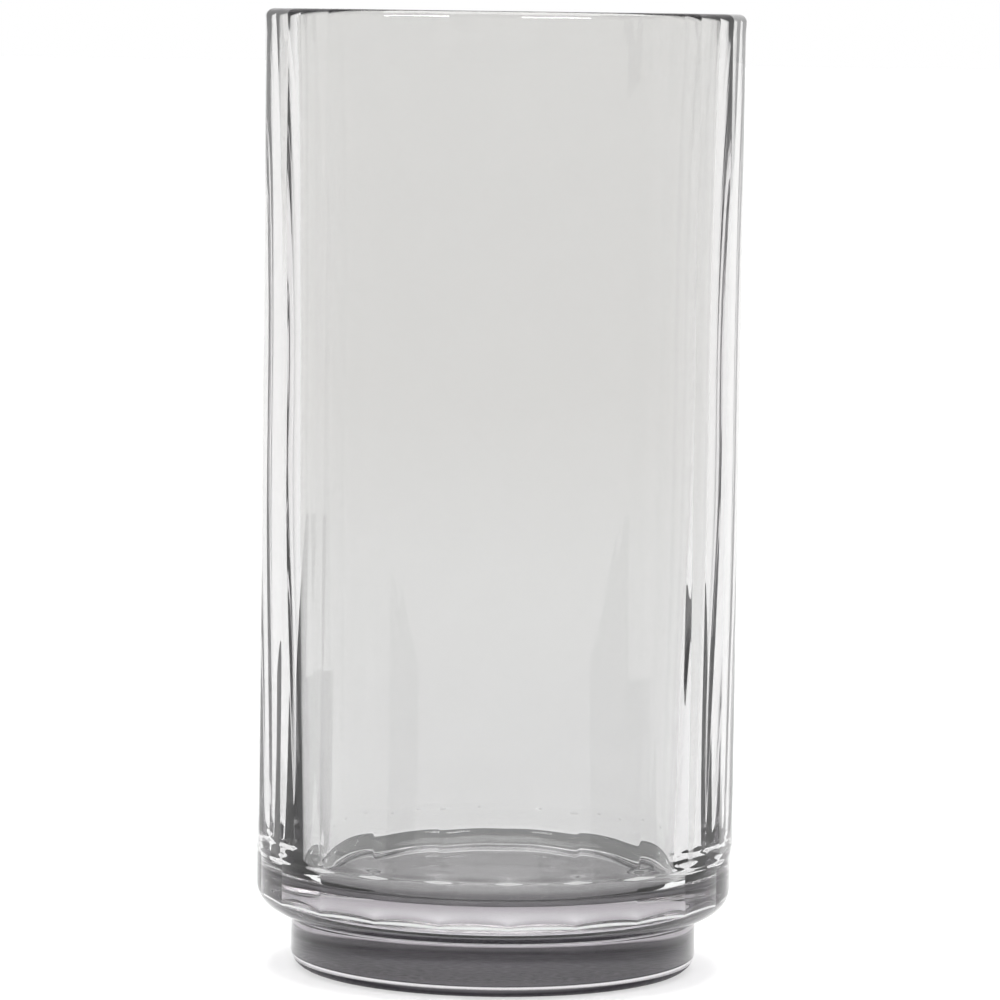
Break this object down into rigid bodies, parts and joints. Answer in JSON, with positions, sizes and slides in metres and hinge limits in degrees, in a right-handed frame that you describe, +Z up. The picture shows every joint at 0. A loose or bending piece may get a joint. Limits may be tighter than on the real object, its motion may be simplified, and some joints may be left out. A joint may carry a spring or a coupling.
{
  "type": "glass cylinder vase",
  "caption": "Tall cylinder vase of smoke-tinted glass with flat vertical panels, a heavy scalloped base and a round pad foot.",
  "frame": {"origin": "middle of the flat face that the vase stands on, at table level", "axes": "+Z up along the vase's axis, towards the mouth; -Y is the side that faces the viewer"},
  "size_m": [0.1002, 0.1002, 0.2],
  "materials": {
    "smoke_glass": "fire-polished clear glass, tinted smoke grey through its thickness",
    "foot_glass": "the same smoke glass, darker because light crosses the whole width of the foot, with a fine-ground underside"
  },
  "bodies": {
    "root": {"vessel": "smoke_glass", "foot": "foot_glass"}
  },
  "joints": []
}
